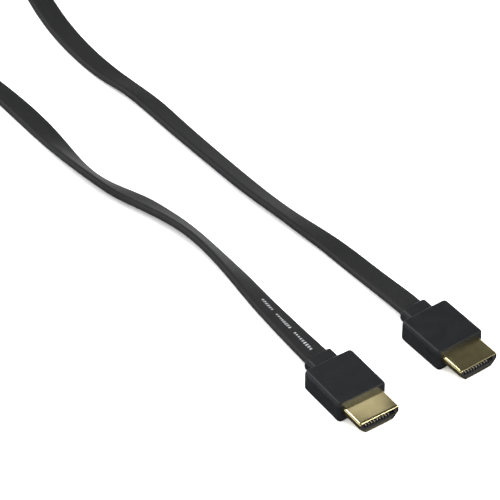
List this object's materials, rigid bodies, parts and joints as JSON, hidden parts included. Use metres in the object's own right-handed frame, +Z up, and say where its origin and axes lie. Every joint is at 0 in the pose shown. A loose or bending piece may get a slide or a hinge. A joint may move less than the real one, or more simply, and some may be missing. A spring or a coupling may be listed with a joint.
{
  "type": "hdmi cable",
  "caption": "Slim flat black audio-video cable with a moulded rectangular plug and gold-plated D-shaped shell on each end, its spare length folded in a tied hank.",
  "frame": {"origin": "middle of plug A's underside, on the surface that the cable lies on", "axes": "+X is the way plug A goes in, +Y runs towards plug B beside it, +Z is up, out of the shells' wide sides"},
  "size_m": [0.4005, 0.0684, 0.0117],
  "materials": {
    "moulding": "satin black moulded plastic",
    "jacket": "smooth matte black extruded jacket",
    "insulator": "matte black moulded plastic",
    "plating": "pale gold plating, lightly brushed",
    "tie": "black plastic twist tie"
  },
  "bodies": {
    "root": {"plug_a_overmould": "moulding", "plug_a_shell": "plating", "plug_a_insulator": "insulator", "plug_b_overmould": "moulding", "plug_b_shell": "plating", "plug_b_insulator": "insulator", "plug_a_upper_contact_1": "plating", "plug_a_upper_contact_2": "plating", "plug_a_upper_contact_3": "plating", "plug_a_upper_contact_4": "plating", "plug_a_upper_contact_5": "plating", "plug_a_upper_contact_6": "plating", "plug_a_upper_contact_7": "plating", "plug_a_upper_contact_8": "plating", "plug_a_upper_contact_9": "plating", "plug_a_upper_contact_10": "plating", "plug_a_lower_contact_1": "plating", "plug_a_lower_contact_2": "plating", "plug_a_lower_contact_3": "plating", "plug_a_lower_contact_4": "plating", "plug_a_lower_contact_5": "plating", "plug_a_lower_contact_6": "plating", "plug_a_lower_contact_7": "plating", "plug_a_lower_contact_8": "plating", "plug_a_lower_contact_9": "plating", "plug_b_upper_contact_1": "plating", "plug_b_upper_contact_2": "plating", "plug_b_upper_contact_3": "plating", "plug_b_upper_contact_4": "plating", "plug_b_upper_contact_5": "plating", "plug_b_upper_contact_6": "plating", "plug_b_upper_contact_7": "plating", "plug_b_upper_contact_8": "plating", "plug_b_upper_contact_9": "plating", "plug_b_upper_contact_10": "plating", "plug_b_lower_contact_1": "plating", "plug_b_lower_contact_2": "plating", "plug_b_lower_contact_3": "plating", "plug_b_lower_contact_4": "plating", "plug_b_lower_contact_5": "plating", "plug_b_lower_contact_6": "plating", "plug_b_lower_contact_7": "plating", "plug_b_lower_contact_8": "plating", "plug_b_lower_contact_9": "plating", "cord_strand_a": "jacket", "cord_strand_b": "jacket", "cord_hank": "jacket", "twist_tie": "tie"}
  },
  "joints": []
}
